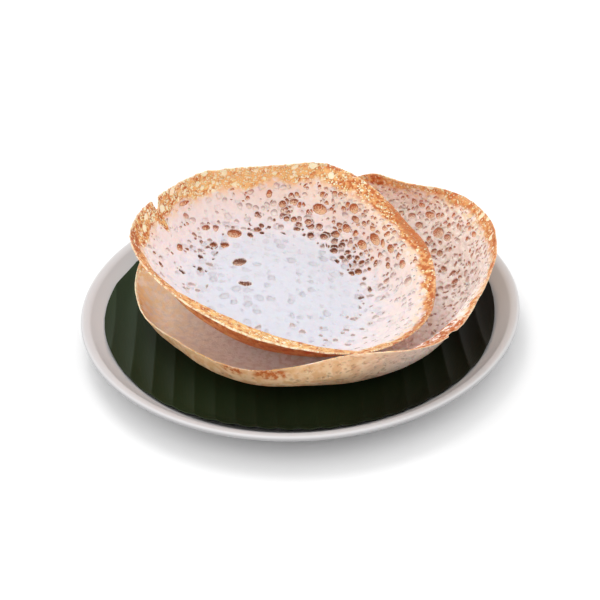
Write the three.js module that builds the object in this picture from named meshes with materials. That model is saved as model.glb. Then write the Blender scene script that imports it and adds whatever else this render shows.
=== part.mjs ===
import * as THREE from 'three';

// Two appams, one laid in the other, on a round of banana leaf in a shallow plate.
// Millimetres, +Z up. The origin is on the table under the plate's centre, and -Y is the near side.

// Plate
const plateRadius = 135;
const plateHeight = 22;
const wellRadius = 92;
const wellTop = 7;
const wallPower = 2.4;
const lipInnerRadius = 130;
const lipInnerHeight = 21.4;
const footInnerRadius = 71;
const footOuterRadius = 80;
const footRecess = 2;
const wallThickness = 4.2;
const lipThickness = 3.2;
const plateSegments = 64;

// Banana leaf
const leafRadius = 121.4;
const leafThickness = 0.6;
const leafGap = 0.4;
const ribSpacing = 12.4;
const ribHeight = 0.45;
const ribLean = 0.02;
const leafRows = 12;

// Both appams: thick and soft in the middle, thin and crisp at the rim
const middleThickness = 7;
const rimThickness = 1.1;
const thickUntil = 0.1;
const thinFrom = 0.78;
const dishSlope = 7;
const spokeCount = 48;
const ringCount = 12;

// Each list goes round the appam in steps of 30 degrees, from +X towards +Y:
// the reach from the middle to the rim along the surface, the wall's slope and the lip's slope.
const lowerAppam = {
  centre: [24.4, -1.6, 9.1],
  tilt: 1,
  tiltTowards: 228,
  reach: [121, 123, 125, 127, 128, 135, 130, 123, 120, 125, 124, 122],
  wall: [58, 51, 35, 38, 38, 28, 0, 14, 21, 45, 61, 68],
  lip: [58, 38, 90, 40, 12, 4, 47, 65, 68, 73, 20, 38],
  wallStart: 0.4,
  wallEnd: 0.8,
  lipStart: 0.8,
  lipEnd: 0.95,
  ruffle: [[5, 0.6, 0.5], [8, 2.1, 0.4]],
};

const upperAppam = {
  centre: [-14, 2, 25.2],
  tilt: 12,
  tiltTowards: 338,
  reach: [106, 107, 111, 110, 107, 106, 108, 108, 107, 112, 113, 110],
  wall: [55, 68, 69, 38, 34, 39, 40, 54, 64, 58, 42, 42],
  lip: [20, 1, 20, 92, 86, 70, 47, 31, 10, 11, 30, 29],
  wallStart: 0.36,
  wallEnd: 0.78,
  lipStart: 0.8,
  lipEnd: 0.94,
  ruffle: [[6, 1.4, 0.5], [9, 0.3, 0.4]],
};

const fullTurn = 2 * Math.PI;

function smoothStep(value, from, to) {
  const share = Math.min(Math.max((value - from) / (to - from), 0), 1);
  return share * share * (3 - 2 * share);
}

// A smooth value between even steps round a circle.
function roundValue(values, azimuth) {
  const count = values.length;
  const place = (azimuth / fullTurn) * count;
  const step = Math.floor(place);
  const share = place - step;
  const at = (offset) => values[(step + offset + count) % count];
  const [before, here, next, after] = [at(-1), at(0), at(1), at(2)];
  const bend = 2 * before - 5 * here + 4 * next - after;
  const twist = -before + 3 * here - 3 * next + after;
  return here + 0.5 * share * (next - before + share * (bend + share * twist));
}

// Joins an under grid and an upper grid of rings, each with one middle point, into a closed shell.
function closedShell(underRings, upperRings) {
  const ringSize = underRings[1].length;
  const points = [];
  const faces = [];
  const addGrid = (rings) => {
    const middle = points.push(rings[0][0]) - 1;
    const starts = rings.slice(1).map((ring) => points.push(...ring) - ring.length);
    return { middle, starts };
  };
  const addFaces = ({ middle, starts }, facingUp) => {
    const add = (a, b, c) => faces.push(...(facingUp ? [a, b, c] : [a, c, b]));
    for (let spoke = 0; spoke < ringSize; spoke += 1) {
      const next = (spoke + 1) % ringSize;
      add(middle, starts[0] + spoke, starts[0] + next);
      for (let ring = 1; ring < starts.length; ring += 1) {
        const [inner, outer] = [starts[ring - 1], starts[ring]];
        add(inner + spoke, outer + spoke, outer + next);
        add(inner + spoke, outer + next, inner + next);
      }
    }
  };
  const under = addGrid(underRings);
  const upper = addGrid(upperRings);
  addFaces(under, false);
  addFaces(upper, true);
  const [low, high] = [under.starts.at(-1), upper.starts.at(-1)];
  for (let spoke = 0; spoke < ringSize; spoke += 1) {
    const next = (spoke + 1) % ringSize;
    faces.push(low + spoke, low + next, high + next);
    faces.push(low + spoke, high + next, high + spoke);
  }
  return meshGeometry(points, faces);
}

function meshGeometry(points, faces) {
  const geometry = new THREE.BufferGeometry();
  const positions = points.flatMap((point) => point.toArray());
  geometry.setAttribute('position', new THREE.Float32BufferAttribute(positions, 3));
  geometry.setIndex(faces);
  geometry.computeVertexNormals();
  return geometry;
}

// The slope of an appam's surface, in radians, at a share of the way from its middle to its rim.
function slopeAt(shape, azimuth, share) {
  const wall = roundValue(shape.wall, azimuth);
  const lip = roundValue(shape.lip, azimuth);
  const rise = wall * smoothStep(share, shape.wallStart, shape.wallEnd);
  const turn = (lip - wall) * smoothStep(share, shape.lipStart, shape.lipEnd);
  return THREE.MathUtils.degToRad(dishSlope * share + rise + turn);
}

function reachAt(shape, azimuth) {
  const waves = shape.ruffle.map(([count, phase, size]) => size * Math.sin(count * azimuth + phase));
  return roundValue(shape.reach, azimuth) + waves.reduce((sum, wave) => sum + wave, 0);
}

// One spoke of the underside, found by adding up short steps along the slope.
function undersideSpoke(shape, azimuth) {
  const finePerRing = 4;
  const steps = ringCount * finePerRing;
  const length = reachAt(shape, azimuth) / steps;
  let [radius, height] = [0, 0];
  const spoke = [new THREE.Vector3(0, 0, 0)];
  for (let step = 1; step <= steps; step += 1) {
    const slope = slopeAt(shape, azimuth, (step - 0.5) / steps);
    radius += length * Math.cos(slope);
    height += length * Math.sin(slope);
    if (step % finePerRing === 0) {
      spoke.push(new THREE.Vector3(radius * Math.cos(azimuth), radius * Math.sin(azimuth), height));
    }
  }
  return spoke;
}

// The upper side stands off the underside, square to it, by the local thickness.
function upperSidePoint(spokes, spoke, ring) {
  const here = spokes[spoke][ring];
  if (ring === 0) {
    return new THREE.Vector3(0, 0, middleThickness);
  }
  const outward = spokes[spoke][Math.min(ring + 1, ringCount)].clone().sub(spokes[spoke][ring - 1]);
  const left = spokes[(spoke + 1) % spokeCount][ring].clone();
  const around = left.sub(spokes[(spoke - 1 + spokeCount) % spokeCount][ring]);
  const thin = smoothStep(ring / ringCount, thickUntil, thinFrom);
  const thickness = middleThickness + (rimThickness - middleThickness) * thin;
  return here.clone().addScaledVector(outward.cross(around).normalize(), thickness);
}

function appamGeometry(shape) {
  const azimuths = Array.from({ length: spokeCount }, (_, spoke) => (spoke * fullTurn) / spokeCount);
  const spokes = azimuths.map((azimuth) => undersideSpoke(shape, azimuth));
  const rings = Array.from({ length: ringCount + 1 }, (_, ring) => ring);
  const under = rings.map((ring) => spokes.map((spoke) => spoke[ring]));
  const upper = rings.map((ring) => spokes.map((_, spoke) => upperSidePoint(spokes, spoke, ring)));
  return closedShell(under, upper);
}

function appam(name, shape, color) {
  const material = new THREE.MeshStandardMaterial({ color, roughness: 0.75, metalness: 0 });
  const mesh = new THREE.Mesh(appamGeometry(shape), material);
  mesh.name = name;
  mesh.position.set(...shape.centre);
  const towards = THREE.MathUtils.degToRad(shape.tiltTowards);
  const axis = new THREE.Vector3(-Math.sin(towards), Math.cos(towards), 0);
  mesh.quaternion.setFromAxisAngle(axis, THREE.MathUtils.degToRad(shape.tilt));
  return mesh;
}

// Height of the plate's upper side: a flat well and a wall that curves up to the lip.
function plateTop(radius) {
  const share = Math.max(radius - wellRadius, 0) / (lipInnerRadius - wellRadius);
  return wellTop + (lipInnerHeight - wellTop) * share ** wallPower;
}

// Profile from the middle of the underside, over the foot and the lip, to the middle of the well.
function plateUnder(radius) {
  const share = (radius - wellRadius) / (lipInnerRadius - wellRadius);
  return plateTop(radius) - wallThickness + (wallThickness - lipThickness) * share;
}

function plateProfile() {
  const profile = [[0, footRecess], [footInnerRadius - 1, footRecess], [footInnerRadius, 0.5]];
  profile.push([footInnerRadius + 0.8, 0], [footOuterRadius - 0.8, 0], [footOuterRadius, 0.5]);
  profile.push([footOuterRadius + 1.2, wellTop - wallThickness - 0.3]);
  for (let radius = wellRadius + 1; radius < lipInnerRadius; radius += 9) {
    profile.push([radius, plateUnder(radius)]);
  }
  profile.push([plateRadius - 1.6, plateHeight - 2.9], [plateRadius, plateHeight - 1.2]);
  profile.push([plateRadius - 0.3, plateHeight - 0.3], [plateRadius - 1.4, plateHeight]);
  profile.push([lipInnerRadius + 1.4, plateHeight - 0.1]);
  for (let radius = lipInnerRadius; radius > wellRadius; radius -= 6.2) {
    profile.push([radius, plateTop(radius)]);
  }
  profile.push([wellRadius, wellTop], [0, wellTop]);
  return profile.map(([radius, height]) => new THREE.Vector2(radius, height));
}

function plate() {
  const geometry = new THREE.LatheGeometry(plateProfile(), plateSegments);
  geometry.rotateX(Math.PI / 2);
  const material = new THREE.MeshStandardMaterial({ color: 0xe6e2e2, roughness: 0.25, metalness: 0 });
  const mesh = new THREE.Mesh(geometry, material);
  mesh.name = 'plate';
  return mesh;
}

// The leaf's ribs run from front to back, press flat in the middle and stand out towards the edge.
function leafHeight(x, y) {
  const radius = Math.hypot(x, y);
  const rib = (1 + Math.cos((fullTurn * (x + ribLean * y)) / ribSpacing)) / 2;
  const ribShare = smoothStep(radius, 0.5 * leafRadius, 0.9 * leafRadius);
  return plateTop(radius) + leafGap + ribHeight * rib * ribShare;
}

// Strips from front to back, half a rib wide, so that each rib's crest and trough is an edge.
function leaf() {
  const halfStrips = Math.floor((2 * leafRadius) / ribSpacing);
  const widest = halfStrips * ribSpacing * 0.5;
  const points = [];
  const faces = [];
  const columns = [-leafRadius];
  for (let strip = -halfStrips; strip <= halfStrips; strip += 1) {
    columns.push((strip * ribSpacing) / 2);
  }
  columns.push(leafRadius);
  const rows = (x) => (Math.abs(x) <= widest ? leafRows : 0);
  const sides = [0, leafThickness].map((lift) => columns.map((x) => {
    const halfChord = Math.sqrt(Math.max(leafRadius ** 2 - x ** 2, 0));
    const start = points.length;
    for (let row = 0; row <= rows(x); row += 1) {
      const y = rows(x) ? halfChord * ((2 * row) / rows(x) - 1) : 0;
      points.push(new THREE.Vector3(x, y, leafHeight(x, y) + lift));
    }
    return start;
  }));
  const last = columns.length - 1;
  sides.forEach((starts, side) => {
    const add = (a, b, c) => faces.push(...(side ? [a, b, c] : [a, c, b]));
    for (let row = 0; row < leafRows; row += 1) {
      add(starts[0], starts[1] + row, starts[1] + row + 1);
      add(starts[last], starts[last - 1] + row + 1, starts[last - 1] + row);
      for (let column = 1; column < last - 1; column += 1) {
        const [here, next] = [starts[column] + row, starts[column + 1] + row];
        add(here, next, next + 1);
        add(here, next + 1, here + 1);
      }
    }
  });
  const addEdge = (from, to) => {
    const [low, high] = sides.map((starts) => [starts[from.column] + from.row, starts[to.column] + to.row]);
    faces.push(low[0], low[1], high[1], low[0], high[1], high[0]);
  };
  for (let column = 0; column < last; column += 1) {
    addEdge({ column, row: 0 }, { column: column + 1, row: 0 });
    const [back, next] = [rows(columns[column]), rows(columns[column + 1])];
    addEdge({ column: column + 1, row: next }, { column, row: back });
  }
  const material = new THREE.MeshStandardMaterial({ color: 0x24331f, roughness: 0.45, metalness: 0 });
  const mesh = new THREE.Mesh(meshGeometry(points, faces), material);
  mesh.name = 'banana_leaf';
  return mesh;
}

const group = new THREE.Group();
group.add(plate());
group.add(leaf());
group.add(appam('lower_appam', lowerAppam, 0xe6c9b4));
group.add(appam('upper_appam', upperAppam, 0xf0e8e6));

export default group;
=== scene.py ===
import math

import bpy
import numpy as np
from mathutils import Matrix, Vector


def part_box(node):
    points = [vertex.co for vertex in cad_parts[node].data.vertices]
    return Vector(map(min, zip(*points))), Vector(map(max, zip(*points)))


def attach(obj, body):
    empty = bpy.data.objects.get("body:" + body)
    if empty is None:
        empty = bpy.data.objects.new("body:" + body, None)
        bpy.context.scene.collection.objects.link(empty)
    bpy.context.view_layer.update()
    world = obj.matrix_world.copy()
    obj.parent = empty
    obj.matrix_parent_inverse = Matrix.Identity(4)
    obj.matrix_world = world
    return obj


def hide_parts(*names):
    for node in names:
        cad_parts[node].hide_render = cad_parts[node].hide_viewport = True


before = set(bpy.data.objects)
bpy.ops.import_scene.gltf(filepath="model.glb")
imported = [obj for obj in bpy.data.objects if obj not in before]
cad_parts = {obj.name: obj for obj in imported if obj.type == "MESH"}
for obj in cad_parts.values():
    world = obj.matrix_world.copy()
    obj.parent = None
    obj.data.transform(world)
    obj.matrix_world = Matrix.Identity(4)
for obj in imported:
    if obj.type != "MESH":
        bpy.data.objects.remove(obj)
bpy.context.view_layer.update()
scene = bpy.context.scene

# ---------------------------------------------------------------------------------------------
# View: the plate is seen from the front, a little over 34 degrees down, through a long lens
# that is turned slightly, so that the plate's right side stands a little higher.
# ---------------------------------------------------------------------------------------------
VIEW_DOWN = math.radians(34.23)
VIEW_ROLL = math.radians(-2.82)
VIEW_ANGLE = math.radians(20)
VIEW_DISTANCE = 1.053
VIEW_TARGET = Vector((0.0003, 0.0014, 0.0213))

back = Vector((0, -math.cos(VIEW_DOWN), math.sin(VIEW_DOWN)))
level_up = Vector((0, math.sin(VIEW_DOWN), math.cos(VIEW_DOWN)))
level_right = Vector((1, 0, 0))
right = math.cos(VIEW_ROLL) * level_right + math.sin(VIEW_ROLL) * level_up
up = math.cos(VIEW_ROLL) * level_up - math.sin(VIEW_ROLL) * level_right
camera = bpy.data.objects.new("camera", bpy.data.cameras.new("camera"))
scene.collection.objects.link(camera)
camera.data.angle = VIEW_ANGLE
camera.data.clip_start = 0.05
camera.data.clip_end = 20
camera.matrix_world = Matrix.Translation(VIEW_TARGET + VIEW_DISTANCE * back) @ Matrix(
    (right, up, back)).transposed().to_4x4()
scene.camera = camera

# ---------------------------------------------------------------------------------------------
# Studio: a plain white floor under a pale sky, with one broad soft lamp above, a little behind
# and to the left, and a weaker one in front that lifts the far walls of the appams.
# ---------------------------------------------------------------------------------------------
FLOOR_SIZE = 8.0
FLOOR_COLOUR = (0.97, 0.97, 0.97, 1)
SKY_STRENGTH = 1.0
KEY_LAMP = {"place": (-0.3, 0.55, 1.4), "size": 0.7, "power": 5}
FILL_LAMP = {"place": (-0.1, -1.0, 1.2), "size": 1.2, "power": 2.5}


def link_object(name, data):
    item = bpy.data.objects.new(name, data)
    scene.collection.objects.link(item)
    return item


def add(tree, kind, inputs=None, **settings):
    """Adds a node, sets it up, and fills its inputs with values or with other nodes' outputs."""
    node = tree.nodes.new(kind)
    for key, value in settings.items():
        setattr(node, key, value)
    for key, value in (inputs or {}).items():
        if isinstance(value, bpy.types.NodeSocket):
            tree.links.new(value, node.inputs[key])
        else:
            node.inputs[key].default_value = value
    return node


def new_material(name):
    material = bpy.data.materials.new(name)
    material.use_nodes = True
    tree = material.node_tree
    tree.nodes.clear()
    return material, tree


def add_lamp(name, lamp):
    light = bpy.data.lights.new(name, "AREA")
    light.shape = "DISK"
    light.size = lamp["size"]
    light.energy = lamp["power"]
    item = link_object(name, light)
    item.location = lamp["place"]
    item.rotation_euler = (-Vector(lamp["place"])).to_track_quat("-Z", "Y").to_euler()


floor_half = FLOOR_SIZE / 2
floor_corners = [(-floor_half, -floor_half, 0), (floor_half, -floor_half, 0),
                 (floor_half, floor_half, 0), (-floor_half, floor_half, 0)]
floor_mesh = bpy.data.meshes.new("floor")
floor_mesh.from_pydata(floor_corners, [], [(0, 1, 2, 3)])
floor = link_object("floor", floor_mesh)
floor_paint, tree = new_material("floor_paint")
shader = add(tree, "ShaderNodeBsdfPrincipled", {"Base Color": FLOOR_COLOUR, "Roughness": 0.9})
add(tree, "ShaderNodeOutputMaterial", {"Surface": shader.outputs["BSDF"]})
floor_mesh.materials.append(floor_paint)

sky = bpy.data.worlds.new("sky")
sky.use_nodes = True
sky.node_tree.nodes["Background"].inputs["Color"].default_value = (1, 1, 1, 1)
sky.node_tree.nodes["Background"].inputs["Strength"].default_value = SKY_STRENGTH
scene.world = sky
scene.view_settings.view_transform = "Standard"
add_lamp("key_lamp", KEY_LAMP)
add_lamp("fill_lamp", FILL_LAMP)

# ---------------------------------------------------------------------------------------------
# Plate: a shallow coupe plate of glazed stoneware, thrown in one piece. A flat well curves up
# to a rounded lip, and a foot ring underneath carries it.
# ---------------------------------------------------------------------------------------------
plate_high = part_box("plate")[1]
PLATE_RADIUS = plate_high.x
PLATE_HEIGHT = plate_high.z
WELL_RADIUS = 0.092
WELL_TOP = 0.007
WALL_POWER = 2.4
LIP_INNER_RADIUS = 0.130
LIP_INNER_HEIGHT = 0.0214
FOOT_INNER_RADIUS = 0.071
FOOT_OUTER_RADIUS = 0.080
FOOT_RECESS = 0.002
FOOT_ROUNDING = 0.0008
WALL_THICKNESS = 0.0042
LIP_THICKNESS = 0.0032
LIP_ROUNDING = 0.0016
PLATE_SEGMENTS = 240
GLAZE_COLOUR = (0.66, 0.645, 0.65, 1)
GLAZE_SHADE = (0.61, 0.595, 0.60, 1)
# Painted shade: a darker grey for the glaze on faces that turn sideways or down, such as the lip's
# outer side.
GLAZE_PAINTED_SHADE = (0.36, 0.355, 0.36, 1)


def plate_top(radius):
    share = np.maximum(radius - WELL_RADIUS, 0) / (LIP_INNER_RADIUS - WELL_RADIUS)
    return WELL_TOP + (LIP_INNER_HEIGHT - WELL_TOP) * share ** WALL_POWER


def plate_profile():
    """From the middle of the underside, over the foot and the lip, to the middle of the well."""
    profile = [(0, FOOT_RECESS), (FOOT_INNER_RADIUS - 0.001, FOOT_RECESS)]
    profile.append((FOOT_INNER_RADIUS, 0.0005))
    profile += [(FOOT_INNER_RADIUS + FOOT_ROUNDING, 0), (FOOT_OUTER_RADIUS - FOOT_ROUNDING, 0)]
    profile += [(FOOT_OUTER_RADIUS, 0.0005),
                (FOOT_OUTER_RADIUS + 0.0012, WELL_TOP - WALL_THICKNESS - 0.0003)]
    for radius in np.arange(WELL_RADIUS + 0.001, LIP_INNER_RADIUS, 0.002):
        share = (radius - WELL_RADIUS) / (LIP_INNER_RADIUS - WELL_RADIUS)
        thinning = (WALL_THICKNESS - LIP_THICKNESS) * share
        profile.append((radius, plate_top(radius) - WALL_THICKNESS + thinning))
    for turn in np.radians(np.arange(-50, 111, 16)):
        profile.append((PLATE_RADIUS + LIP_ROUNDING * (math.cos(turn) - 1),
                        PLATE_HEIGHT + LIP_ROUNDING * (math.sin(turn) - 1)))
    for radius in np.arange(LIP_INNER_RADIUS, WELL_RADIUS, -0.0015):
        profile.append((radius, plate_top(radius)))
    profile += [(WELL_RADIUS, WELL_TOP), (WELL_RADIUS * 0.6, WELL_TOP), (0, WELL_TOP)]
    return profile


def turned_mesh(name, profile, segments):
    """Turns a profile that starts and ends on the axis into a closed mesh."""
    turns = np.linspace(0, 2 * math.pi, segments, endpoint=False)
    ring = np.c_[np.cos(turns), np.sin(turns)]
    points = [(0, 0, profile[0][1])]
    for radius, height in profile[1:-1]:
        points += [(radius * c, radius * s, height) for c, s in ring]
    points.append((0, 0, profile[-1][1]))
    last = len(points) - 1
    faces = []
    for step in range(segments):
        after = (step + 1) % segments
        faces.append((0, 1 + after, 1 + step))
        for row in range(len(profile) - 3):
            low, high = 1 + row * segments, 1 + (row + 1) * segments
            faces.append((low + step, low + after, high + after, high + step))
        rim = 1 + (len(profile) - 3) * segments
        faces.append((rim + step, rim + after, last))
    mesh = bpy.data.meshes.new(name)
    mesh.from_pydata(points, [], faces)
    mesh.shade_smooth()
    return mesh


def glaze():
    material, tree = new_material("stoneware_glaze")
    place = add(tree, "ShaderNodeTexCoord").outputs["Object"]
    cloud = add(tree, "ShaderNodeTexNoise", {"Vector": place, "Scale": 18, "Detail": 4})
    tone = add(tree, "ShaderNodeMix",
               {"Factor": cloud.outputs["Fac"], "A": GLAZE_COLOUR, "B": GLAZE_SHADE},
               data_type="RGBA")
    # Painted shade: the glaze is darkened where the surface tilts away from straight up, so the outer
    # lip looks shaded.
    normal = add(tree, "ShaderNodeNewGeometry").outputs["Normal"]
    facing_up = add(tree, "ShaderNodeSeparateXYZ", {"Vector": normal}).outputs["Z"]
    painted_shade = add(tree, "ShaderNodeMapRange", {"Value": facing_up, "From Min": 0.85, "From Max": 0.1})
    tone = add(tree, "ShaderNodeMix",
               {"Factor": painted_shade.outputs[0], "A": tone.outputs["Result"], "B": GLAZE_PAINTED_SHADE},
               data_type="RGBA")
    speck = add(tree, "ShaderNodeTexNoise", {"Vector": place, "Scale": 900, "Detail": 2})
    bump = add(tree, "ShaderNodeBump",
               {"Height": speck.outputs["Fac"], "Strength": 0.04, "Distance": 0.0002})
    shader = add(tree, "ShaderNodeBsdfPrincipled",
                 {"Base Color": tone.outputs["Result"], "Roughness": 0.32, "IOR": 1.5,
                  "Normal": bump.outputs["Normal"]})
    add(tree, "ShaderNodeOutputMaterial", {"Surface": shader.outputs["BSDF"]})
    return material


plate_mesh = turned_mesh("stoneware_plate", plate_profile(), PLATE_SEGMENTS)
plate = link_object("stoneware_plate", plate_mesh)
plate.data.materials.append(glaze())
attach(plate, "root")
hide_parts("plate")

# ---------------------------------------------------------------------------------------------
# Banana leaf: a round cut from one half of a banana leaf, laid in the plate. Its side veins run
# from front to back, and the blade between them sags, so that each vein stands up as a low crest.
# ---------------------------------------------------------------------------------------------
LEAF_RADIUS = 0.1214
LEAF_THICKNESS = 0.0006
LEAF_GAP = 0.0004
LEAF_CURL = 0.0008
LEAF_TRIM = 0.006
VEIN_SPACING = 0.0124
VEIN_OFFSET = 0.0045
VEIN_LEAN = 0.02
VEIN_HEIGHT = 0.0012
LEAF_STRIPS = 400
LEAF_ROWS = 100
# Painted light and shade: the leaf is painted green where light falls on its left, and near black in
# the shade towards its right.
LEAF_PAINTED_LIGHT = (0.022, 0.040, 0.014, 1)
LEAF_PAINTED_SHADE = (0.004, 0.0035, 0.0015, 1)
LEAF_PAINTED_LIGHT_FADE = 3.5  # how fast the painted light on the leaf grows towards its left


def smooth_step(value, start, end):
    share = np.clip((value - start) / (end - start), 0, 1)
    return share * share * (3 - 2 * share)


def vein_phase(x, y):
    """0 on a vein, 0.5 and -0.5 halfway to the next ones. The veins aren't evenly spaced."""
    wander = 0.0016 * np.sin(x / 0.031 + 1.0) + VEIN_LEAN * y + 0.0005 * np.sin(y / 0.021 + x / 0.05)
    return (x + wander + VEIN_OFFSET) / VEIN_SPACING


def leaf_height(x, y):
    radius = np.hypot(x, y)
    phase = vein_phase(x, y)
    off_vein = np.abs(phase - np.round(phase)) * 2
    crest = (1 - off_vein) ** 2
    loose = smooth_step(radius, 0.45 * LEAF_RADIUS, 0.85 * LEAF_RADIUS)
    edge = smooth_step(radius, 0.9 * LEAF_RADIUS, LEAF_RADIUS)
    turn = np.arctan2(y, x)
    curl = LEAF_CURL * (1 + np.sin(3 * turn + 0.8) + 0.375 * np.sin(7 * turn + 2))
    return plate_top(radius) + LEAF_GAP + VEIN_HEIGHT * crest * loose + np.maximum(curl, 0) * edge


def leaf_mesh():
    """Strips from front to back, closer together near the left and right ends of the round."""
    angles = np.linspace(-math.pi / 2, math.pi / 2, LEAF_STRIPS + 1)
    columns = np.linspace(-1, 1, LEAF_STRIPS + 1)
    columns = 0.15 * np.sin(angles) + 0.85 * columns
    rows = np.linspace(-1, 1, LEAF_ROWS + 1)
    across, along = np.meshgrid(columns * LEAF_RADIUS, rows, indexing="ij")
    chord = np.sqrt(np.maximum(LEAF_RADIUS ** 2 - across ** 2, 0.0006 ** 2))
    turn = np.arctan2(along * chord, across)
    uneven = (1 + np.sin(5 * turn + 2.2)) * np.hypot(across, along * chord) / LEAF_RADIUS
    trim = 1 - LEAF_TRIM * uneven
    x, y = across * trim, along * chord * trim
    low = leaf_height(x, y)
    count = x.size
    points = np.concatenate([np.stack([x, y, low + lift], -1).reshape(-1, 3)
                             for lift in (0, LEAF_THICKNESS)])
    index = np.arange(count).reshape(x.shape)
    corners = [index[:-1, :-1], index[1:, :-1], index[1:, 1:], index[:-1, 1:]]
    top = np.stack(corners, -1).reshape(-1, 4) + count
    bottom = np.stack(corners[::-1], -1).reshape(-1, 4)
    border = np.concatenate([index[:-1, 0], index[-1, :-1], index[:0:-1, -1], index[0, :0:-1]])
    after = np.roll(border, -1)
    side = np.stack([border, after, after + count, border + count], -1)
    mesh = bpy.data.meshes.new("banana_leaf")
    mesh.from_pydata(points.tolist(), [], np.concatenate([top, bottom, side]).tolist())
    phase = np.tile(vein_phase(x, y).ravel(), 2)
    vein = mesh.attributes.new("vein_phase", "FLOAT", "POINT")
    vein.data.foreach_set("value", phase)
    mesh.shade_smooth()
    return mesh


def leaf_skin():
    material, tree = new_material("leaf_skin")
    place = add(tree, "ShaderNodeTexCoord").outputs["Object"]
    vein = add(tree, "ShaderNodeAttribute", attribute_name="vein_phase").outputs["Fac"]
    spread = add(tree, "ShaderNodeMath", {0: vein, 1: 1.0}, operation="PINGPONG").outputs[0]
    fine = add(tree, "ShaderNodeMath", {0: vein, 1: 14.0}, operation="MULTIPLY").outputs[0]
    ripple = add(tree, "ShaderNodeMath", {0: fine, 1: 0.5}, operation="PINGPONG").outputs[0]
    cloud = add(tree, "ShaderNodeTexNoise", {"Vector": place, "Scale": 9, "Detail": 2})
    # Painted light and shade: the colour runs from near black on the right to green on the left, with
    # a soft cloud.
    left = add(tree, "ShaderNodeSeparateXYZ", {"Vector": place}).outputs["X"]
    lit_share = add(tree, "ShaderNodeMath", {0: left, 1: -LEAF_PAINTED_LIGHT_FADE, 2: cloud.outputs["Fac"]},
                operation="MULTIPLY_ADD")
    lit_share = add(tree, "ShaderNodeMapRange",
                {"Value": lit_share.outputs[0], "From Min": 0.1, "From Max": 1.1})
    tone = add(tree, "ShaderNodeMix", {"Factor": lit_share.outputs[0], "A": LEAF_PAINTED_SHADE, "B": LEAF_PAINTED_LIGHT},
               data_type="RGBA")
    height = add(tree, "ShaderNodeMath", {0: ripple, 1: spread}, operation="ADD").outputs[0]
    bump = add(tree, "ShaderNodeBump", {"Height": height, "Strength": 0.25, "Distance": 0.0003})
    shader = add(tree, "ShaderNodeBsdfPrincipled",
                 {"Base Color": tone.outputs["Result"], "Roughness": 0.5, "Specular IOR Level": 0.14,
                  "Normal": bump.outputs["Normal"]})
    add(tree, "ShaderNodeOutputMaterial", {"Surface": shader.outputs["BSDF"]})
    return material


leaf = link_object("leaf_round", leaf_mesh())
leaf.data.materials.append(leaf_skin())
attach(leaf, "root")
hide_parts("banana_leaf")

# ---------------------------------------------------------------------------------------------
# Lower appam: a bowl-shaped pancake of fermented rice batter, swirled round a hot pan, so that
# it is thick and soft in the middle and thin, crisp and lacy at the rim. It stands in the leaf.
# ---------------------------------------------------------------------------------------------
MIDDLE_THICKNESS = 0.007
RIM_THICKNESS = 0.0008
THICK_UNTIL = 0.1
THIN_FROM = 0.78
DISH_SLOPE = 7
LEAST_FLOOR = 0.00035  # the batter left under a bubble
LEAST_THICKNESS = 0.0003
RIDGE_MM = 0.5  # the batter left between two bubbles
FAR_OUTSIDE_MM = -9.0  # how far inside a bubble a point is that is outside all of them
MARKED_NUMBER = 0.886  # a high number, so that the marked bubbles brown first
CRUST_WANDER = 0.13  # how far the crust's border swings in and out, as a share
GRID_TURNS = 720
GRID_STEPS = 400
RAGGED_STEPS = 230
RAGGED_STEPS_PER_RADIAN = 36.6
FLAKE_STEPS = 60
SEED_STEP_MM = 137.0  # each seed uses its own part of the pattern
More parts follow.
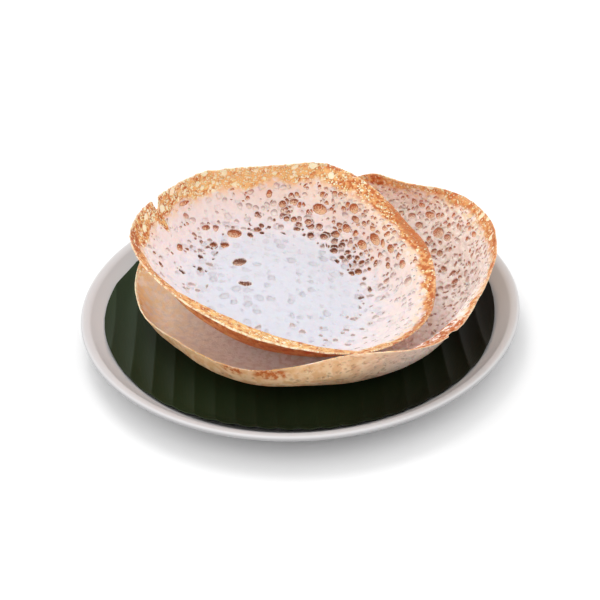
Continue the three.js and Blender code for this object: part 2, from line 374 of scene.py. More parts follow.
# Each list of twelve goes round the appam in steps of 30 degrees, from +X towards +Y, and directions
# are in degrees the same way. A share is part of the way from the middle (0) to the rim (1).
# - reach is the length of a spoke in m, wall and lip are its slopes in degrees, and rough is how
#   much of the crisp rim has crumbled away, in mm. A ruffle is its count, its turn and its size.
# - A notch is its direction, half its width in degrees, and its depth in m.
# - airy is how many bubbles burst, from airy_from outwards, and ripe is how many of them browned.
#   The lace starts at crust_from. lace is how open it is, brown is its colour, and bright_edge is how
#   strong the painted highlight along its thin edge is.
# - the toast list browns the crumb, and on the lower appam's left it is painted glow and shade, for
#   light shining through the thin wall in the upper one's shade. pitted and bleached colour the
#   griddle side, and dimpled is how deep the soft dimples are.
# - A bubble is its direction, its share, half its length and half its width in mm, and how orange
#   it is. A scorched mark is the same, with its strength; the upper appam's two marks on its griddle
#   side are painted shade under its near lip.
LOWER_APPAM = {
    "centre": (0.0244, -0.0016, 0.0091),
    "tilt": 1,
    "tilt_towards": 228,
    "reach": [0.121, 0.123, 0.125, 0.127, 0.128, 0.135, 0.130, 0.123, 0.120, 0.125, 0.124, 0.122],
    "wall": [58, 51, 35, 38, 38, 28, 0, 14, 21, 45, 61, 68],
    "lip": [58, 38, 90, 40, 12, 4, 47, 65, 68, 73, 20, 38],
    "wall_share": (0.4, 0.8),
    "lip_share": (0.8, 0.95),
    "ruffle": [(5, 0.6, 0.0005), (8, 2.1, 0.0004)],
    "rough": [0.2, 0.4, 0.4, 0.3, 0.3, 0.1, 0.1, 0.1, 0.15, 0.15, 0.2, 0.3],
    "notches": [(306.5, 1.6, 0.003), (89, 12, 0.006)],
    "airy": [0.7, 1.0, 0.95, 0.8, 0.4, 0.0, 0.0, 0.0, 0.0, 0.1, 0.4, 0.5],
    "airy_from": [0.45, 0.42, 0.42, 0.45, 0.5, 0.6, 0.6, 0.6, 0.5, 0.5, 0.5, 0.5],
    "crust_from": [0.952, 0.94, 0.955, 0.94, 0.94, 0.97, 0.99, 0.99, 0.98, 0.99, 0.98, 0.975],
    "lace": [0.2, 0.45, 0.4, 0.5, 0.7, 0.4, 0.2, 0.2, 0.3, 0.3, 0.3, 0.2],
    "brown": [0.9, 0.9, 0.5, 0.6, 0.5, 0.3, 0.2, 0.2, 0.5, 0.5, 0.7, 0.9],
    "ripe": [0.1, 0.6, 0.45, 0.5, 0.5, 0.3, 0.3, 0.3, 0.3, 0.0, -0.2, -0.2],
    "bright_edge": [0.1, 0.2, 0.2, 0.2, 0.4, 0.7, 0.9, 0.3, 0.1, 0.3, 0.6, 0.4],
    # Painted glow and shade: the toast at 150 and 180 degrees is a tan for light shining through the
    # thin left wall in the upper appam's shade; elsewhere it is browning.
    "toast_and_painted_light": [0.1, 0.3, 0.2, 0.3, 0.3, 0.8, 0.9, 0.25, 0.1, 0.1, 0.1, 0.1],
    "bubbles": [(41, 0.77, 3.6, 4.6, 0.7), (49, 0.84, 2.4, 4.0, 0.9), (52, 0.77, 2.3, 3.3, 0.3),
                (34, 0.68, 2.2, 3.0, 0.5), (35, 0.77, 2.5, 3.3, 0.3), (25, 0.63, 1.6, 3.6, 0.4),
                (21, 0.88, 1.8, 3.0, 0.5), (13, 0.76, 1.4, 2.3, 0.4), (54, 0.88, 1.6, 2.8, 0.5)],
    "pitted": [0.1, 0, 0, 0, 0, 0, 0, 0, 0.1, 0.8, 0.3, 0.1],
    "bleached": [0.3, 0, 0, 0, 0, 0, 0, 0, 0, 0.1, 0.9, 0.6],
    "dimpled": [1, 1, 1, 1, 0.5, 0.1, 0, 0, 0, 0.1, 0.7, 1],
    "scorched_above": [(73, 0.96, 4, 8, 1.0), (346, 0.99, 3, 4, 1.0), (6, 0.985, 2, 16, 1.0),
                       (301, 0.95, 14, 26, 1.0)],
    "scorch_and_shade_below": [(233, 0.98, 4, 8, 1.0), (246, 0.97, 5, 12, 1.0)],
}


def round_value(values, turns):
    """A smooth value between even steps round a circle."""
    values = np.asarray(values, float)
    place = turns / (2 * math.pi) * len(values)
    step = np.floor(place).astype(int)
    share = place - step
    before, here, after, beyond = (values[(step + offset) % len(values)] for offset in (-1, 0, 1, 2))
    bend = 2 * before - 5 * here + 4 * after - beyond
    twist = -before + 3 * here - 3 * after + beyond
    return here + 0.5 * share * (after - before + share * (bend + share * twist))


def appam_grid(shape):
    """The underside of an appam on even steps and turns, with the direction square to it, and a flat
    map of it in mm, on which round spots are round on the appam too, though smaller near the rim."""
    turns = np.arange(GRID_TURNS) * 2 * math.pi / GRID_TURNS
    reach = round_value(shape["reach"], turns)
    for count, phase, size in shape["ruffle"]:
        reach = reach + size * np.sin(count * turns + phase)
    wall, lip = round_value(shape["wall"], turns), round_value(shape["lip"], turns)
    share = ((np.arange(GRID_STEPS) + 0.5) / GRID_STEPS)[:, None]
    slope = DISH_SLOPE * share + wall * smooth_step(share, *shape["wall_share"])
    slope = np.radians(slope + (lip - wall) * smooth_step(share, *shape["lip_share"]))
    zero = np.zeros((1, GRID_TURNS))
    radius = np.concatenate([zero, np.cumsum(np.cos(slope), 0)]) * reach / GRID_STEPS
    height = np.concatenate([zero, np.cumsum(np.sin(slope), 0)]) * reach / GRID_STEPS
    grid = np.stack([radius * np.cos(turns), radius * np.sin(turns), height], -1)
    around = np.roll(grid, -1, 1) - np.roll(grid, 1, 1)
    square = np.cross(np.gradient(grid, axis=0), around)
    square[0] = (0, 0, 1)
    square /= np.linalg.norm(square, axis=-1, keepdims=True)
    towards = math.radians(shape["tilt_towards"])
    axis = Vector((-math.sin(towards), math.cos(towards), 0))
    tilt = np.array(Matrix.Rotation(math.radians(shape["tilt"]), 3, axis)).T
    spread = np.exp(np.cumsum(reach / GRID_STEPS / (0.5 * (radius[1:] + radius[:-1])), 0))
    spread *= 1000 * radius[GRID_STEPS // 5 + 1] / spread[GRID_STEPS // 5]
    flat = np.concatenate([zero, spread])
    flat = np.stack([flat * np.cos(turns), flat * np.sin(turns), 0 * flat], -1)
    return grid @ tilt + np.array(shape["centre"]), square @ tilt, flat


def trimmed(shape, turn, reach):
    """How much of each spoke is left where the crisp rim is ragged or has broken off."""
    crumbs = np.random.default_rng(7).random(RAGGED_STEPS)
    flakes = np.random.default_rng(8).random(FLAKE_STEPS)
    bumps = crumbs + round_value(flakes, np.arange(RAGGED_STEPS) / RAGGED_STEPS_PER_RADIAN)
    lost = 0.001 * round_value(shape["rough"], turn) * round_value(bumps, turn)
    for direction, width, depth in shape["notches"]:
        off = (np.degrees(turn) - direction + 180) % 360 - 180
        lost = lost + depth * np.exp(-(off / width) ** 4)
    return 1 - lost / reach


def on_grid(grid, share, turn):
    """Reads the grid between its steps."""
    row = np.clip(share * GRID_STEPS, 0, GRID_STEPS - 1e-6)
    column = (turn / (2 * math.pi) * GRID_TURNS) % GRID_TURNS
    low_row, low_column = row.astype(int), column.astype(int)
    next_column = (low_column + 1) % GRID_TURNS
    along, around = (row - low_row)[:, None], (column - low_column)[:, None]
    near = grid[low_row, low_column] * (1 - around) + grid[low_row, next_column] * around
    far = grid[low_row + 1, low_column] * (1 - around) + grid[low_row + 1, next_column] * around
    return near * (1 - along) + far * along


def ring_net(reach, spacings):
    """Rings of points from the middle to the rim, joined by even triangles. Returns the points'
    shares and turns, the triangles, and how many points the rim has."""
    shares, turns, faces = [0.0], [0.0], []
    share, start, count, shift = 0.0, 0, 1, 0.0
    while share < 1:
        spacing = float(np.interp(share, *zip(*spacings)))
        share += 0.87 * spacing / reach
        if 1 - share < 0.5 * spacing / reach:
            share, spacing = 1, spacings[-1][1]
        new_count = max(6, round(2 * math.pi * share * reach / spacing))
        new_start = len(shares)
        new_shift = 0 if share == 1 else (new_start % 7) / 7
        shares += [share] * new_count
        turns += [2 * math.pi * (step + new_shift) / new_count for step in range(new_count)]
        if count == 1:
            faces += [(0, new_start + step, new_start + (step + 1) % new_count)
                      for step in range(new_count)]
        else:
            inner, outer = 0, 0
            while inner < count or outer < new_count:
                outer_is_next = (outer + 1 + new_shift) / new_count <= (inner + 1 + shift) / count
                tip = (start + inner % count, new_start + outer % new_count)
                if outer < new_count and (inner >= count or outer_is_next):
                    outer += 1
                    faces.append(tip + (new_start + outer % new_count,))
                else:
                    inner += 1
                    faces.append(tip + (start + inner % count,))
        start, count, shift = new_start, new_count, new_shift
    return np.array(shares), np.array(turns) % (2 * math.pi), np.array(faces), count


def nearest_mark(marks, flat, flat_grid, reach):
    """How far inside the nearest mark each point is, in mm, the mark's strength, and how far back in
    the mark the point lies, from -1 at its front to 1 at its back."""
    inside, strength, lean = (np.full(len(flat), value) for value in (FAR_OUTSIDE_MM, 0.0, 0.0))
    for direction, share, length, width, power in marks:
        turn = np.radians([direction, direction])
        middle, nearer = on_grid(flat_grid, np.array([share, share - 0.02]), turn)
        growth = np.linalg.norm(middle - nearer) / (0.02 * reach)
        away = (flat - middle) / growth
        out = middle / np.linalg.norm(middle)
        across = away[:, 1] * out[0] - away[:, 0] * out[1]
        depth = (1 - np.hypot(away @ out / length, across / width)) * min(length, width)
        closer = depth > inside
        inside[closer], strength[closer] = depth[closer], power
        lean[closer] = away[closer, 1] / max(length, width)
    return inside, strength, lean


def appam_shell(name, shape, above_spacings, below_spacings):
    """A closed shell, still without thickness, with the layers of values that the batter tree and
    the material read."""
    grid, square, flat_grid = appam_grid(shape)
    reach = float(np.mean(shape["reach"]))
    share_above, turn_above, faces_above, rim_count = ring_net(reach, above_spacings)
    share_below, turn_below, faces_below, rim_count = ring_net(reach, below_spacings)
    share, turn = np.r_[share_above, share_below], np.r_[turn_above, turn_below]
    on_rim = share == 1
    kept = share * trimmed(shape, turn, reach)
    above = np.arange(len(share)) < len(share_above)
    step = np.arange(rim_count)
    low, high = len(share) - rim_count, len(share_above) - rim_count
    after = (step + 1) % rim_count
    wall = np.stack([low + step, low + after, high + after, high + step], -1)
    mesh = bpy.data.meshes.new(name)
    mesh.from_pydata(on_grid(grid, kept, turn).tolist(), [], faces_above.tolist()
                     + (faces_below[:, ::-1] + len(share_above)).tolist() + wall.tolist())
    up = on_grid(square, kept, turn)
    up /= np.linalg.norm(up, axis=1, keepdims=True)
    thinning = smooth_step(share, THICK_UNTIL, THIN_FROM)
    flat = on_grid(flat_grid, kept, turn)
    past_soft_middle = smooth_step(share - round_value(shape["airy_from"], turn), -0.06, 0.1)
    marked, orange, lean = nearest_mark(shape["bubbles"], flat, flat_grid, reach * 1000)
    scorch_and_shade = np.zeros(len(share))
    for side, label in ((above, "scorched_above"), (~above, "scorch_and_shade_below")):
        inside, power, _ = nearest_mark(shape[label], flat[side], flat_grid, reach * 1000)
        scorch_and_shade[side] = power * smooth_step(inside, -1, 1.5)
    layers = {
        "share": share, "above": above.astype(float), "up": up, "flat_mm": flat,
        "thickness": MIDDLE_THICKNESS + (RIM_THICKNESS - MIDDLE_THICKNESS) * thinning,
        "airy": round_value(shape["airy"], turn) * past_soft_middle,
        "toast_and_painted_light": round_value(shape["toast_and_painted_light"], turn) * smooth_step(share, 0.45, 0.95),
        "crust": share - round_value(shape["crust_from"], turn),
        "marked": marked, "orange": orange, "lean": lean, "scorch_and_shade": scorch_and_shade,
    }
    for label in ("lace", "brown", "ripe", "bright_edge", "pitted", "bleached", "dimpled"):
        layers[label] = round_value(shape[label], turn)
    for label, values in layers.items():
        kind, field = ("FLOAT_VECTOR", "vector") if values.ndim > 1 else ("FLOAT", "value")
        layer = mesh.attributes.new(label, kind, "POINT")
        layer.data.foreach_set(field, np.ascontiguousarray(values, np.float32).ravel())
    mesh.shade_smooth()
    ends = np.empty(2 * len(mesh.edges), np.int32)
    mesh.edges.foreach_get("vertices", ends)
    creased = on_rim[ends.reshape(-1, 2)].all(1)
    mesh.attributes.new("sharp_edge", "BOOLEAN", "EDGE").data.foreach_set("value", creased)
    return link_object(name, mesh)


def maths(tree, operation, first, second=0.0):
    return add(tree, "ShaderNodeMath", {0: first, 1: second}, operation=operation).outputs[0]


def chain(tree, operation, values):
    result = values[0]
    for value in values[1:]:
        result = maths(tree, operation, result, value)
    return result


def product(tree, *factors):
    return chain(tree, "MULTIPLY", factors)


def total(tree, *terms):
    return chain(tree, "ADD", terms)


def highest(tree, *values):
    return chain(tree, "MAXIMUM", values)


def minus(tree, first, second):
    return maths(tree, "SUBTRACT", first, second)


def vector_maths(tree, operation, first, second):
    return add(tree, "ShaderNodeVectorMath", {0: first, 1: second}, operation=operation).outputs[0]


def stretched(tree, vector, amount):
    return add(tree, "ShaderNodeVectorMath", {0: vector, "Scale": amount},
               operation="SCALE").outputs[0]


def ramp(tree, value, start, end, low=0.0, high=1.0):
    return add(tree, "ShaderNodeMapRange", {"Value": value, "From Min": start, "From Max": end,
                                            "To Min": low, "To Max": high},
               interpolation_type="SMOOTHSTEP").outputs[0]


def cloud(tree, spot, size, detail=2.0):
    """A soft cloud, about 0.3 to 0.7, whose patches are about size mm wide."""
    return add(tree, "ShaderNodeTexNoise", {"Vector": spot, "Scale": 1 / size, "Detail": detail},
               noise_dimensions="2D").outputs


def swing(tree, shade_of_cloud, width):
    """Turns a cloud's value into a push to either side of 0, up to half of width."""
    return product(tree, minus(tree, shade_of_cloud, 0.5), width)


def shifted(tree, spot, size, amount):
    """Pushes points about by up to half of amount, in mm, so that round cells turn uneven."""
    push = vector_maths(tree, "SUBTRACT", cloud(tree, spot, size)["Color"], (0.5, 0.5, 0.5))
    return vector_maths(tree, "ADD", spot, stretched(tree, push, amount))


def cells(tree, spot, size, feature="F1"):
    scale = maths(tree, "DIVIDE", 1.0, size)
    return add(tree, "ShaderNodeTexVoronoi", {"Vector": spot, "Scale": scale, "Randomness": 0.95},
               voronoi_dimensions="2D", feature=feature).outputs


def cell_chances(tree, cell):
    """Three numbers from 0 to 1 that differ from cell to cell."""
    return add(tree, "ShaderNodeSeparateXYZ", {"Vector": cell["Color"]}).outputs


def burst_bubbles(tree, spot, size, largest, chance, first=None):
    """Mixed round holes, one at most to a cell, with ridges left between them: how far inside a hole
    a point is, in mm, a number from 0 to 1 for the hole, and how far back in it the point lies.
    Where an earlier layer of holes is given, the new ones keep clear of it."""
    cell = cells(tree, spot, size)
    chances = cell_chances(tree, cell)
    radius = product(tree, ramp(tree, chances[0], 0.0, 1.0, 0.55, 1.0), largest)
    depth = minus(tree, radius, product(tree, cell["Distance"], size))
    room = product(tree, cells(tree, spot, size, "DISTANCE_TO_EDGE")["Distance"], size)
    depth = maths(tree, "MINIMUM", depth, minus(tree, room, RIDGE_MM / 2))
    chosen = maths(tree, "LESS_THAN", chances[1], chance)
    inside = product(tree, total(tree, depth, -FAR_OUTSIDE_MM), chosen)
    inside = total(tree, inside, FAR_OUTSIDE_MM)
    from_middle = vector_maths(tree, "SUBTRACT", spot, cell["Position"])
    lean = add(tree, "ShaderNodeSeparateXYZ", {"Vector": from_middle}).outputs["Y"]
    lean = maths(tree, "DIVIDE", lean, radius)
    if first is None:
        return inside, chances[2], lean
    first_inside, first_number, first_lean = first
    inside = maths(tree, "MINIMUM", inside, minus(tree, -RIDGE_MM, first_inside))
    closer = maths(tree, "GREATER_THAN", inside, first_inside)
    number, lean = (
        add(tree, "ShaderNodeMix", {"Factor": closer, "A": old, "B": new}).outputs["Result"]
        for old, new in ((first_number, chances[2]), (first_lean, lean)))
    return highest(tree, inside, first_inside), number, lean


def round_panes(tree, spot, size, chance, least, most):
    """Round panes, one at most to a cell: 1 in a pane and 0 on the strands, and the pane's tone."""
    cell = cells(tree, spot, size)
    chances = cell_chances(tree, cell)
    inside = minus(tree, ramp(tree, chances[0], 0.0, 1.0, least, most), cell["Distance"])
    pane = ramp(tree, product(tree, inside, size), -0.15, 0.25)
    return product(tree, pane, maths(tree, "LESS_THAN", chances[1], chance)), chances[2]


def batter_pattern(tree, read, bubble_size, lace_size, seed):
    """The pattern of an appam, for a geometry tree and a material alike, from the shell's layers."""
    seed = product(tree, seed, SEED_STEP_MM)
    seed = add(tree, "ShaderNodeCombineXYZ", {"X": seed, "Y": seed}).outputs[0]
    spot = vector_maths(tree, "ADD", read("flat_mm"), seed)
    loose = shifted(tree, shifted(tree, spot, 11.0, 4.0), 3.0, 0.8)
    lace = read("lace")

    # Burst bubbles: first the large ones that the shell marks, then two layers of smaller ones.
    patch = ramp(tree, cloud(tree, spot, 17.0)["Fac"], 0.36, 0.6, 0.55, 1.0)
    chance = product(tree, read("airy"), patch)
    marked = total(tree, read("marked"), swing(tree, cloud(tree, spot, 1.8, 2.0)["Fac"], 0.8))
    holes = (marked, MARKED_NUMBER, read("lean"))
    for cell_share, largest, chance_share in ((0.75, 2.7, 0.95), (0.45, 1.4, 0.4)):
        holes = burst_bubbles(tree, loose, product(tree, bubble_size, cell_share), largest,
                              product(tree, chance, chance_share), holes)
    inside, number, lean = holes
    ripe = ramp(tree, total(tree, number, read("ripe")), 0.7, 1.3)
    gold = maths(tree, "FRACT", product(tree, number, 7.0))

    # Lace: the crust's border wanders, and its panes come in three sizes.
    wander = swing(tree, cloud(tree, spot, 20.0, 2.5)["Fac"], CRUST_WANDER)
    lacy = ramp(tree, total(tree, read("crust"), wander), -0.02, 0.02)
    fine_chance = total(tree, product(tree, lace, 0.7), 0.15)
    wide_chance, large_chance = product(tree, lace, 0.35), product(tree, lace, lace, 0.4)
    fine, tone = round_panes(tree, loose, lace_size, fine_chance, 0.25, 0.5)
    wide = round_panes(tree, loose, product(tree, lace_size, 2.2), wide_chance, 0.15, 0.42)[0]
    large = round_panes(tree, loose, product(tree, lace_size, 4.5), large_chance, 0.15, 0.4)[0]

    # Soft dimples, where a bubble only rose and sank again.
    soft_spot = shifted(tree, shifted(tree, spot, 7.0, 4.0), 2.5, 1.6)
    soft_cell = cells(tree, soft_spot, 7.0)
    soft_chance = cell_chances(tree, soft_cell)
    dimple = minus(tree, ramp(tree, soft_chance[0], 0.0, 1.0, 0.1, 0.48), soft_cell["Distance"])
    dimple = product(tree, ramp(tree, dimple, -0.05, 0.25), minus(tree, 1.0, lacy),
                     ramp(tree, soft_chance[1], 0.1, 0.9, 0.3, 1.0), read("dimpled"))
    return {"inside": total(tree, inside, product(tree, lacy, FAR_OUTSIDE_MM)), "lean": lean,
            "ripe": ripe, "gold": gold, "lacy": lacy, "hollow": highest(tree, fine, wide, large),
            "wide": highest(tree, wide, large), "tone": tone, "dimple": dimple, "spot": spot,
            "loose": loose, "share": read("share")}


def batter_tree():
    """Presses bubbles, dimples and lace into a shell of batter, and gives the shell its thickness."""
    tree = bpy.data.node_groups.new("batter", "GeometryNodeTree")
    face = tree.interface
    face.new_socket("Geometry", in_out="OUTPUT", socket_type="NodeSocketGeometry")
    face.new_socket("Shell", in_out="INPUT", socket_type="NodeSocketGeometry")
    for label in ("Bubble size", "Bubble depth", "Dimple depth", "Lace size", "Lace depth",
                  "Wave height", "Seed"):
        face.new_socket(label, in_out="INPUT", socket_type="NodeSocketFloat")
    face.new_socket("Material", in_out="INPUT", socket_type="NodeSocketMaterial")
    given = add(tree, "NodeGroupInput").outputs

    def read(label):
        kind = "FLOAT_VECTOR" if label in ("up", "flat_mm") else "FLOAT"
        layer = add(tree, "GeometryNodeInputNamedAttribute", {"Name": label}, data_type=kind)
        return layer.outputs["Attribute"]

    pattern = batter_pattern(tree, read, given["Bubble size"], given["Lace size"], given["Seed"])
    thickness = read("thickness")
    depth = maths(tree, "MINIMUM", given["Bubble depth"], minus(tree, thickness, LEAST_FLOOR))
    depth = product(tree, depth, ramp(tree, pattern["ripe"], 0.0, 1.0, 0.6, 1.0))
    down = total(tree, product(tree, ramp(tree, pattern["inside"], -0.35, 0.65), depth),
                 product(tree, pattern["dimple"], given["Dimple depth"]),
                 product(tree, pattern["lacy"], pattern["hollow"], given["Lace depth"]))
    rise = product(tree, highest(tree, minus(tree, thickness, down), LEAST_THICKNESS), read("above"))
    sway = product(tree, swing(tree, cloud(tree, pattern["spot"], 20.0)["Fac"], given["Wave height"]),
                   ramp(tree, pattern["share"], 0.4, 0.95))
    lift = stretched(tree, read("up"), total(tree, rise, sway))
    shell = add(tree, "GeometryNodeSetPosition", {"Geometry": given["Shell"], "Offset": lift})
    shell = add(tree, "GeometryNodeRealizeInstances", {"Geometry": shell.outputs[0]})
    shell = add(tree, "GeometryNodeSetMaterial",
                {"Geometry": shell.outputs[0], "Material": given["Material"]})
    add(tree, "NodeGroupOutput", {0: shell.outputs[0]})
    return tree


def bake_tree(sheet, tree, values):
    """Runs the tree on a sheet and keeps the result as a plain mesh."""
    modifier = sheet.modifiers.new("batter", "NODES")
    modifier.node_group = tree
    for item in tree.interface.items_tree:
        if item.in_out == "INPUT" and item.name in values:
            modifier[item.identifier] = values[item.name]
    seen = sheet.evaluated_get(bpy.context.evaluated_depsgraph_get())
    mesh = bpy.data.meshes.new_from_object(seen)
    sheet.modifiers.remove(modifier)
    mesh.name = sheet.name
    sheet.data = mesh


def shade(red, lit_share, blue):
    """A colour as seen on a screen, 0 to 255, as the renderer's linear colour."""
    return tuple(((c / 255 + 0.055) / 1.055) ** 2.4 for c in (red, lit_share, blue)) + (1,)


def blend(tree, amount, first, second):
    return add(tree, "ShaderNodeMix", {"Factor": amount, "A": first, "B": second},
               data_type="RGBA").outputs["Result"]


def batter_material(name, shades, values):
    """Cooked batter: pale crumb, browned bubbles, golden lace, and a tan griddle side."""
    material, tree = new_material(name)

    def read(label):
        node = add(tree, "ShaderNodeAttribute", attribute_name=label)
        return node.outputs["Vector" if label == "flat_mm" else "Fac"]

    pattern = batter_pattern(tree, read, values["Bubble size"], values["Lace size"], values["Seed"])
    spot, inside, lacy, share = (pattern[label] for label in ("spot", "inside", "lacy", "share"))
    mood = cloud(tree, spot, 6.0, 3.0)["Fac"]
    grain = cloud(tree, spot, 0.9, 3.0)["Fac"]
    streak = cloud(tree, spot, 4.0, 4.0)["Fac"]

    # Crumb, from the white middle to the peach and tan ground between the bubbles.
    warm = ramp(tree, total(tree, share, swing(tree, mood, 0.3)), 0.4, 0.8)
    crumb = blend(tree, warm, shades["crumb"], shades["flush"])
    # Painted glow and shade: on the lower appam's left, the toast tan stands in for light shining
    # through the thin wall in the upper one's shade.
    toast_and_light_share = product(tree, read("toast_and_painted_light"), ramp(tree, mood, 0.3, 0.6, 0.5, 1.0))
    crumb = blend(tree, toast_and_light_share, crumb, shades["toast_and_painted_light"])
    mottle = product(tree, ramp(tree, streak, 0.45, 0.65), shades["mottle"])
    crumb = blend(tree, mottle, crumb, shades["dimple"])
    # Painted shade: the soft dimples are tinted darker, for the shade that falls in them.
    painted_dimple_shade = product(tree, pattern["dimple"], ramp(tree, warm, 0.0, 1.0, 0.5, 0.25))
    crumb = blend(tree, painted_dimple_shade, crumb, shades["dimple"])
    heat = total(tree, read("brown"), swing(tree, mood, 1.6))
    near_crust = ramp(tree, read("crust"), -0.07, 0.0)
    spread = product(tree, near_crust, ramp(tree, mood, 0.4, 0.58), 0.8)
    crumb = blend(tree, spread, crumb, blend(tree, heat, shades["gold"], shades["toast_and_painted_light"]))

    # Bubbles: some only pale pits, most browned, with a lighter, mottled floor. Painted shade darkens
    # the side of each hole and pit that lies towards the back, and a pale ring round each hole is a
    # painted highlight on its ridge.
    crumb = blend(tree, product(tree, ramp(tree, inside, -0.9, -0.2), 0.5), crumb, shades["edge"])
    reddish = highest(tree, read("orange"), ramp(tree, share, 0.6, 0.95))
    # Painted shade: the back of each hole is darker than its front, with a random mottle.
    painted_shade_and_mottle = total(tree, pattern["lean"], swing(tree, grain, 3.0))
    painted_shade_and_mottle = product(tree, ramp(tree, inside, -0.1, 0.5), ramp(tree, painted_shade_and_mottle, 0.45, -0.35))
    ground = blend(tree, reddish, shades["floor"], shades["floor_orange"])
    ground = blend(tree, product(tree, pattern["gold"], 0.7), ground, crumb)
    wall = blend(tree, reddish, shades["hole"], shades["hole_orange"])
    browned = blend(tree, painted_shade_and_mottle, wall, ground)
    # Painted shade at the back of each pale pit.
    pit = blend(tree, ramp(tree, pattern["lean"], 0.5, -0.3), shades["pit_painted_shade"], crumb)
    hole = blend(tree, pattern["ripe"], pit, browned)
    crumb = blend(tree, ramp(tree, inside, -0.3, 0.3), crumb, hole)

    # Lace: golden strands round cream panes, browner where the pan was hotter.
    strand = blend(tree, ramp(tree, heat, 0.2, 0.9), shades["gold"], shades["strand"])
    strand = blend(tree, product(tree, ramp(tree, streak, 0.4, 0.6), 0.65), strand, shades["gold"])
    pane = blend(tree, ramp(tree, pattern["tone"], 0.2, 0.9), shades["cream"], shades["pane"])
    pane = blend(tree, product(tree, pattern["wide"], 0.7), pane, shades["pane"])
    upper = blend(tree, lacy, crumb, blend(tree, pattern["hollow"], strand, pane))

    # Griddle side: tan, with small grey pits in patches, browner towards the rim.
    tan = blend(tree, ramp(tree, mood, 0.38, 0.6), shades["tan"], shades["tan_light"])
    tan = blend(tree, read("bleached"), tan, shades["bleached"])
    patches = product(tree, ramp(tree, cloud(tree, spot, 9.0)["Fac"], 0.46, 0.58), read("pitted"))
    pits = ramp(tree, burst_bubbles(tree, pattern["loose"], 3.6, 1.6, patches)[0], -0.8, 0.8)
    tan = blend(tree, product(tree, pits, 0.5), tan, shades["pit"])
    tan = blend(tree, product(tree, near_crust, shades["under_crust"]), tan, strand)
    colour = blend(tree, ramp(tree, read("above"), 0.05, 0.3), tan, upper)

    # Both sides: a painted highlight along the thin edge, and a few scorched marks; the marks under
    # the upper appam's near lip are painted shade.
    edge = product(tree, ramp(tree, share, 0.985, 0.993), read("bright_edge"),
                   ramp(tree, streak, 0.35, 0.6, 0.3, 1.0))
    colour = blend(tree, edge, colour, shades["pane"])
    scorch_and_shade_tone = blend(tree, ramp(tree, grain, 0.4, 0.62), shades["scorch_and_shade_tone"], shades["strand"])
    scorch_and_shade = product(tree, read("scorch_and_shade"), ramp(tree, streak, 0.36, 0.58))
    colour = blend(tree, scorch_and_shade, colour, scorch_and_shade_tone)

    relief = total(tree, product(tree, grain, 0.2), product(tree, pits, -0.35),
                   product(tree, lacy, pattern["hollow"], -0.35),
                   product(tree, ramp(tree, inside, -0.4, 0.8), -0.8),
                   product(tree, pattern["dimple"], -0.8), product(tree, mood, 0.6))
    bump = add(tree, "ShaderNodeBump", {"Height": relief, "Strength": 1.0, "Distance": 0.0008})
    shader = add(tree, "ShaderNodeBsdfPrincipled",
                 {"Base Color": colour, "Roughness": 0.6, "Specular IOR Level": 0.3,
                  "Subsurface Weight": 0.25, "Subsurface Scale": 0.004,
                  "Normal": bump.outputs["Normal"]})
    add(tree, "ShaderNodeOutputMaterial", {"Surface": shader.outputs["BSDF"]})
    return material


LOWER_VALUES = {"Bubble size": 7.0, "Bubble depth": 0.0016, "Dimple depth": 0.0006, "Lace size": 1.8,
                "Lace depth": 0.0004, "Wave height": 0.0012, "Seed": 3.0}
LOWER_SHADES = {
    "crumb": shade(255, 244, 241), "flush": shade(255, 236, 230), "toast_and_painted_light": shade(246, 208, 160),
    # Painted shade and highlight: the dimple tint shades the soft dimples as well as mottling the
    # crumb, the pit tint shades the back of each pale pit, and the ring tint round each hole is a
    # painted highlight.
    "dimple": shade(236, 214, 204), "edge": shade(254, 238, 230), "pit_painted_shade": shade(208, 174, 162),
    "hole": shade(176, 126, 108), "hole_orange": shade(190, 116, 76),
    "floor": shade(222, 186, 170), "floor_orange": shade(236, 188, 150),
    "gold": shade(238, 184, 120), "strand": shade(200, 116, 60), "cream": shade(248, 214, 168),
    "pane": shade(255, 236, 206), "scorch_and_shade_tone": shade(176, 90, 40),
    "tan": shade(220, 172, 124), "tan_light": shade(236, 198, 156),
    "bleached": shade(236, 216, 202), "pit": shade(150, 116, 86),
    # How much the rim's brown reaches round to the griddle side, and how mottled the crumb is.
    "under_crust": 0.2, "mottle": 0.7,
}
batter = batter_tree()
lower = appam_shell("lower_appam_batter", LOWER_APPAM,
                    [(0, 0.003), (0.35, 0.002), (0.5, 0.00085), (1, 0.0008)],
                    [(0, 0.003), (0.5, 0.002), (0.75, 0.0014), (0.95, 0.0011), (1, 0.0008)])
lower_material = batter_material("lower_batter", LOWER_SHADES, LOWER_VALUES)
bake_tree(lower, batter, dict(LOWER_VALUES, Material=lower_material))
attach(lower, "root")
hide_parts("lower_appam")

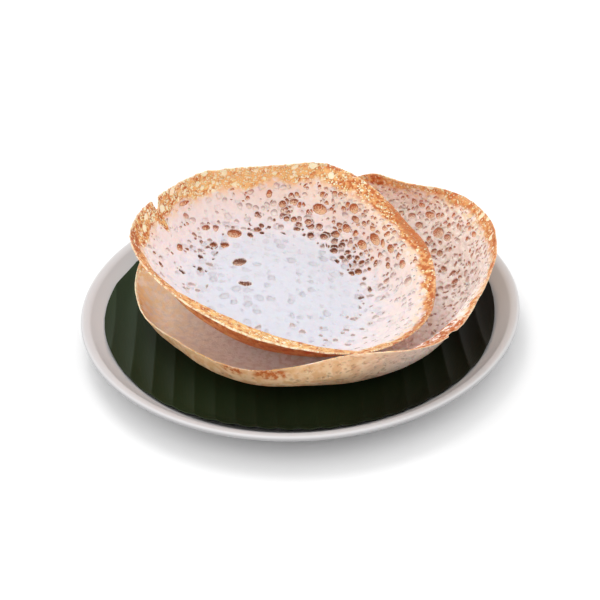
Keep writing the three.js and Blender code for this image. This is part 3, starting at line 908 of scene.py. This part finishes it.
# ---------------------------------------------------------------------------------------------
# Upper appam: a smaller one from the same pan, laid in the lower one and tipped down to the
# right. Its middle is whiter, its holes are crisper, and its golden lace is wider.
# ---------------------------------------------------------------------------------------------
UPPER_APPAM = {
    "centre": (-0.014, 0.002, 0.0252),
    "tilt": 12,
    "tilt_towards": 338,
    "reach": [0.106, 0.107, 0.111, 0.110, 0.107, 0.106, 0.108, 0.108, 0.107, 0.112, 0.113, 0.110],
    "wall": [55, 68, 69, 38, 34, 39, 40, 54, 64, 58, 42, 42],
    "lip": [20, 1, 20, 92, 86, 70, 47, 31, 10, 11, 30, 29],
    "wall_share": (0.36, 0.78),
    "lip_share": (0.8, 0.94),
    "ruffle": [(6, 1.4, 0.0005), (9, 0.3, 0.0004)],
    "rough": [0.3, 0.4, 0.7, 0.9, 0.8, 0.9, 0.7, 0.2, 0.2, 0.2, 0.2, 0.2],
    "notches": [(156.5, 1.7, 0.007)],
    "airy": [0.6, 1.0, 1.0, 0.75, 0.45, 0.4, 0.3, 0.12, 0.06, 0.06, 0.12, 0.3],
    "airy_from": [0.5, 0.48, 0.5, 0.54, 0.5, 0.45, 0.4, 0.4, 0.4, 0.35, 0.35, 0.42],
    "crust_from": [0.915, 0.90, 0.885, 0.875, 0.855, 0.85, 0.86, 0.9, 0.875, 0.875, 0.92, 0.94],
    "lace": [0.25, 0.3, 0.5, 0.8, 1.0, 1.0, 0.8, 0.4, 0.35, 0.45, 0.3, 0.2],
    "brown": [1.2, 1.25, 0.9, 0.35, 0.4, 0.75, 0.95, 0.8, 0.6, 0.6, 0.7, 0.9],
    "ripe": [0.15, 0.7, 0.85, 0.6, 0.35, 0.5, 0.4, 0.0, -0.4, -0.4, -0.4, -0.3],
    "bright_edge": [0.2, 0.1, 0.3, 0.3, 0.3, 0.4, 0.5, 0.7, 0.8, 0.8, 0.4, 0.2],
    "toast_and_painted_light": [0.45, 0.75, 0.75, 0.5, 0.25, 0.2, 0.15, 0.05, 0.0, 0.0, 0.05, 0.2],
    "bubbles": [(118, 0.55, 3.8, 5.0, 0.7), (137, 0.31, 3.6, 5.2, 0.1), (179, 0.19, 4.2, 2.4, 0.1),
                (158, 0.65, 2.4, 3.2, 0.6), (130, 0.49, 2.8, 3.0, 0.6), (137, 0.53, 2.2, 2.8, 0.4),
                (133, 0.65, 2.0, 3.0, 0.5), (108, 0.52, 2.4, 1.8, 0.2), (102, 0.56, 1.8, 2.6, 0.2),
                (88, 0.73, 2.4, 2.5, 0.5), (85, 0.64, 1.8, 2.0, 0.3), (81, 0.64, 1.9, 2.0, 0.4),
                (78, 0.58, 1.5, 2.3, 0.1), (73, 0.64, 2.0, 2.2, 0.4), (69, 0.56, 2.4, 2.0, 0.1),
                (69, 0.73, 3.4, 5.0, 0.8), (66, 0.63, 2.0, 2.2, 0.3), (61, 0.58, 2.0, 2.8, 0.1),
                (51, 0.82, 3.2, 3.6, 1.0), (51, 0.69, 2.8, 3.2, 0.7), (48, 0.77, 2.2, 3.0, 0.6),
                (37, 0.68, 3.0, 4.4, 0.9), (31, 0.77, 3.4, 5.4, 1.0), (50, 0.53, 2.4, 2.6, 0.1),
                (42, 0.53, 1.6, 1.9, 0.1), (25, 0.55, 2.4, 2.8, 0.4), (34, 0.6, 1.7, 2.2, 0.3),
                (14, 0.73, 2.0, 2.4, 0.6), (7, 0.82, 2.6, 3.2, 0.9), (355, 0.83, 3.2, 3.8, 0.8),
                (19, 0.81, 2.6, 3.2, 0.8), (7, 0.56, 1.4, 2.6, 0.2), (112, 0.845, 1.4, 5.6, 1.0),
                (138, 0.845, 1.6, 5.0, 0.9)],
    "pitted": [0.2, 0.2, 0.2, 0.2, 0.2, 0.2, 0.2, 0.2, 0.1, 0.1, 0.2, 0.2],
    "bleached": [0] * 12,
    "dimpled": [1] * 12,
    "scorched_above": [(184, 0.95, 6, 12, 0.9), (20, 0.975, 4, 40, 0.7), (330, 0.97, 3, 30, 0.6)],
    # Painted shade: the two marks below darken the griddle side a little way down from the near lip,
    # where it lies in shade.
    "scorch_and_shade_below": [(230, 0.75, 5, 14, 1.0), (255, 0.72, 6, 34, 0.6)],
}
UPPER_VALUES = {"Bubble size": 7.6, "Bubble depth": 0.0022, "Dimple depth": 0.0008, "Lace size": 1.9,
                "Lace depth": 0.0005, "Wave height": 0.0012, "Seed": 1.0}
UPPER_SHADES = {
    "crumb": shade(213, 214, 223), "flush": shade(240, 224, 223), "toast_and_painted_light": shade(244, 208, 178),
    # Painted shade and highlight: the dimple tint shades the soft dimples as well as mottling the
    # crumb, the pit tint shades the back of each pale pit, and the ring tint round each hole is a
    # painted highlight.
    "dimple": shade(190, 184, 188), "edge": shade(248, 232, 226), "pit_painted_shade": shade(200, 182, 178),
    "hole": shade(112, 70, 52), "hole_orange": shade(170, 92, 48),
    "floor": shade(204, 160, 134), "floor_orange": shade(236, 182, 134),
    "gold": shade(246, 194, 128), "strand": shade(186, 100, 44), "cream": shade(255, 224, 176),
    "pane": shade(255, 238, 208), "scorch_and_shade_tone": shade(150, 68, 30),
    "tan": shade(198, 124, 68), "tan_light": shade(214, 150, 92),
    "bleached": shade(222, 202, 188), "pit": shade(140, 84, 50),
    "under_crust": 0.25, "mottle": 0.1,
}
upper = appam_shell("upper_appam_batter", UPPER_APPAM,
                    [(0, 0.0012), (0.3, 0.0011), (0.45, 0.0008), (1, 0.00072)],
                    [(0, 0.003), (0.5, 0.002), (0.8, 0.0013), (0.95, 0.001), (1, 0.00072)])
upper_material = batter_material("upper_batter", UPPER_SHADES, UPPER_VALUES)
bake_tree(upper, batter, dict(UPPER_VALUES, Material=upper_material))
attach(upper, "root")
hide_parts("upper_appam")
